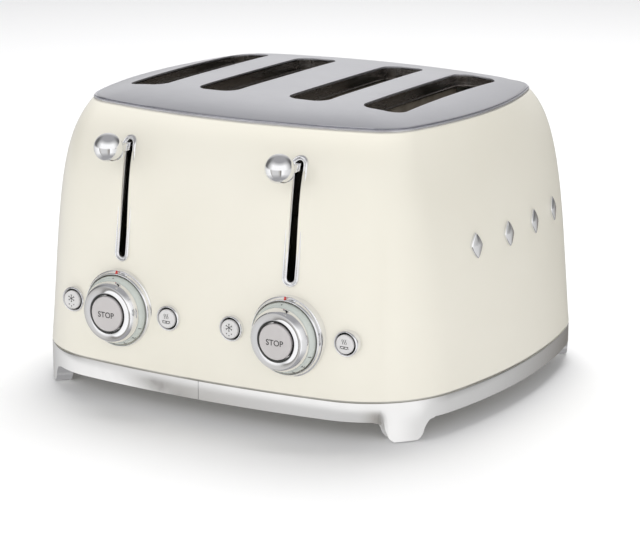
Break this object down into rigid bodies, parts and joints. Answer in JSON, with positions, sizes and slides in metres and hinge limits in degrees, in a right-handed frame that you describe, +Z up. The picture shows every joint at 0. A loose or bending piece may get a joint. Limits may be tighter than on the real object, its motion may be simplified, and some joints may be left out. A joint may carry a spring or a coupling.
{
  "type": "pop-up toaster",
  "caption": "Long-slot retro pop-up toaster with a bowed cream enamel shell, brushed crowned top, polished base ring with feet, lift levers, browning dials and push buttons.",
  "frame": {"origin": "on the floor, midway between the four feet and under the middle of the shell", "axes": "+Z up, +X along the width towards the right-hand dial, -Y towards the front with the levers and dials"},
  "size_m": [0.3332, 0.328, 0.2084],
  "materials": {
    "cream_enamel": "gloss enamel",
    "brushed_panel": "fine brushed",
    "satin_casting": "satin polished",
    "bright_chrome": "mirror polished",
    "dark_collar": "dark polished",
    "plated_sheet": "dull zinc plated",
    "mica_board": "matte flaky",
    "heating_alloy": "oxidised",
    "spring_wire": "bright drawn",
    "copper_coil": "enamelled",
    "board_laminate": "matte",
    "pearl_plastic": "satin",
    "foot_rubber": "matte"
  },
  "bodies": {
    "chassis": {"body_shell": "cream_enamel", "top_panel": "brushed_panel", "slot_collar_1": "dark_collar", "slot_collar_2": "dark_collar", "slot_collar_3": "dark_collar", "slot_collar_4": "dark_collar", "base_ring_left": "satin_casting", "base_ring_right": "satin_casting", "base_plate": "plated_sheet", "foot_pads": "foot_rubber", "tray_rails": "plated_sheet", "base_screws": "spring_wire", "front_frame": "plated_sheet", "rear_frame": "plated_sheet", "control_board": "board_laminate", "button_bezels": "bright_chrome", "cord_gland": "foot_rubber", "side_studs": "bright_chrome", "lever_bezel_left": "bright_chrome", "dial_flange_left": "bright_chrome", "mica_cards_left": "mica_board", "heater_ribbons_left": "heating_alloy", "guide_rods_left": "spring_wire", "lift_spring_left": "spring_wire", "latch_magnet_left": "copper_coil", "lever_bezel_right": "bright_chrome", "dial_flange_right": "bright_chrome", "mica_cards_right": "mica_board", "heater_ribbons_right": "heating_alloy", "guide_rods_right": "spring_wire", "lift_spring_right": "spring_wire", "latch_magnet_right": "copper_coil"},
    "carriage_left": {"carriage_left": "plated_sheet", "lever_stem_left": "bright_chrome", "lever_knob_left": "bright_chrome", "bread_rack_1": "plated_sheet", "bread_rack_2": "plated_sheet"},
    "carriage_right": {"carriage_right": "plated_sheet", "lever_stem_right": "bright_chrome", "lever_knob_right": "bright_chrome", "bread_rack_3": "plated_sheet", "bread_rack_4": "plated_sheet"},
    "guard_1": {"bread_guard_1": "spring_wire"},
    "guard_2": {"bread_guard_2": "spring_wire"},
    "guard_3": {"bread_guard_3": "spring_wire"},
    "guard_4": {"bread_guard_4": "spring_wire"},
    "guard_5": {"bread_guard_5": "spring_wire"},
    "guard_6": {"bread_guard_6": "spring_wire"},
    "guard_7": {"bread_guard_7": "spring_wire"},
    "guard_8": {"bread_guard_8": "spring_wire"},
    "dial_left": {"browning_dial_left": "bright_chrome"},
    "stop_left": {"stop_button_left": "pearl_plastic"},
    "defrost_left": {"defrost_button_left": "pearl_plastic"},
    "reheat_left": {"reheat_button_left": "pearl_plastic"},
    "tray_left": {"crumb_tray_left": "plated_sheet"},
    "dial_right": {"browning_dial_right": "bright_chrome"},
    "stop_right": {"stop_button_right": "pearl_plastic"},
    "defrost_right": {"defrost_button_right": "pearl_plastic"},
    "reheat_right": {"reheat_button_right": "pearl_plastic"},
    "tray_right": {"crumb_tray_right": "plated_sheet"}
  },
  "joints": [
    {"name": "lever_left_slide", "type": "slide", "parent": "chassis", "child": "carriage_left", "axis": [0, 0, 1], "range_m": [-0.07, 0], "stiffness_N_per_m": 80, "springref_m": 0.04, "deforming": ["lift_spring_left"]},
    {"name": "lever_right_slide", "type": "slide", "parent": "chassis", "child": "carriage_right", "axis": [0, 0, 1], "range_m": [-0.07, 0], "stiffness_N_per_m": 80, "springref_m": 0.04, "deforming": ["lift_spring_right"]},
    {"name": "guard_1_slide", "type": "slide", "parent": "chassis", "child": "guard_1", "axis": [1, 0, 0], "range_m": [0, 0.004]},
    {"name": "guard_2_slide", "type": "slide", "parent": "chassis", "child": "guard_2", "axis": [-1, 0, 0], "range_m": [0, 0.004]},
    {"name": "guard_3_slide", "type": "slide", "parent": "chassis", "child": "guard_3", "axis": [1, 0, 0], "range_m": [0, 0.004]},
    {"name": "guard_4_slide", "type": "slide", "parent": "chassis", "child": "guard_4", "axis": [-1, 0, 0], "range_m": [0, 0.004]},
    {"name": "guard_5_slide", "type": "slide", "parent": "chassis", "child": "guard_5", "axis": [1, 0, 0], "range_m": [0, 0.004]},
    {"name": "guard_6_slide", "type": "slide", "parent": "chassis", "child": "guard_6", "axis": [-1, 0, 0], "range_m": [0, 0.004]},
    {"name": "guard_7_slide", "type": "slide", "parent": "chassis", "child": "guard_7", "axis": [1, 0, 0], "range_m": [0, 0.004]},
    {"name": "guard_8_slide", "type": "slide", "parent": "chassis", "child": "guard_8", "axis": [-1, 0, 0], "range_m": [0, 0.004]},
    {"name": "dial_left_turn", "type": "hinge", "parent": "chassis", "child": "dial_left", "pos_m": [-0.066, -0.15, 0.0667], "axis": [0, 1, 0], "range_deg": [0, 270]},
    {"name": "stop_left_press", "type": "slide", "parent": "chassis", "child": "stop_left", "axis": [0, 1, 0], "range_m": [0, 0.0022], "stiffness_N_per_m": 250, "springref_m": -0.002},
    {"name": "defrost_left_press", "type": "slide", "parent": "chassis", "child": "defrost_left", "axis": [0, 1, 0], "range_m": [0, 0.0024], "stiffness_N_per_m": 250, "springref_m": -0.002},
    {"name": "reheat_left_press", "type": "slide", "parent": "chassis", "child": "reheat_left", "axis": [0, 1, 0], "range_m": [0, 0.0024], "stiffness_N_per_m": 250, "springref_m": -0.002},
    {"name": "tray_left_slide", "type": "slide", "parent": "chassis", "child": "tray_left", "axis": [0, 1, 0], "range_m": [0, 0.16]},
    {"name": "dial_right_turn", "type": "hinge", "parent": "chassis", "child": "dial_right", "pos_m": [0.066, -0.15, 0.0667], "axis": [0, 1, 0], "range_deg": [0, 270]},
    {"name": "stop_right_press", "type": "slide", "parent": "chassis", "child": "stop_right", "axis": [0, 1, 0], "range_m": [0, 0.0022], "stiffness_N_per_m": 250, "springref_m": -0.002},
    {"name": "defrost_right_press", "type": "slide", "parent": "chassis", "child": "defrost_right", "axis": [0, 1, 0], "range_m": [0, 0.0024], "stiffness_N_per_m": 250, "springref_m": -0.002},
    {"name": "reheat_right_press", "type": "slide", "parent": "chassis", "child": "reheat_right", "axis": [0, 1, 0], "range_m": [0, 0.0024], "stiffness_N_per_m": 250, "springref_m": -0.002},
    {"name": "tray_right_slide", "type": "slide", "parent": "chassis", "child": "tray_right", "axis": [0, 1, 0], "range_m": [0, 0.16]}
  ],
  "couplings": [
    {"joint": "guard_1_slide", "follows": "lever_left_slide", "ratio": -0.0571},
    {"joint": "guard_2_slide", "follows": "lever_left_slide", "ratio": -0.0571},
    {"joint": "guard_3_slide", "follows": "lever_left_slide", "ratio": -0.0571},
    {"joint": "guard_4_slide", "follows": "lever_left_slide", "ratio": -0.0571},
    {"joint": "guard_5_slide", "follows": "lever_right_slide", "ratio": -0.0571},
    {"joint": "guard_6_slide", "follows": "lever_right_slide", "ratio": -0.0571},
    {"joint": "guard_7_slide", "follows": "lever_right_slide", "ratio": -0.0571},
    {"joint": "guard_8_slide", "follows": "lever_right_slide", "ratio": -0.0571}
  ]
}
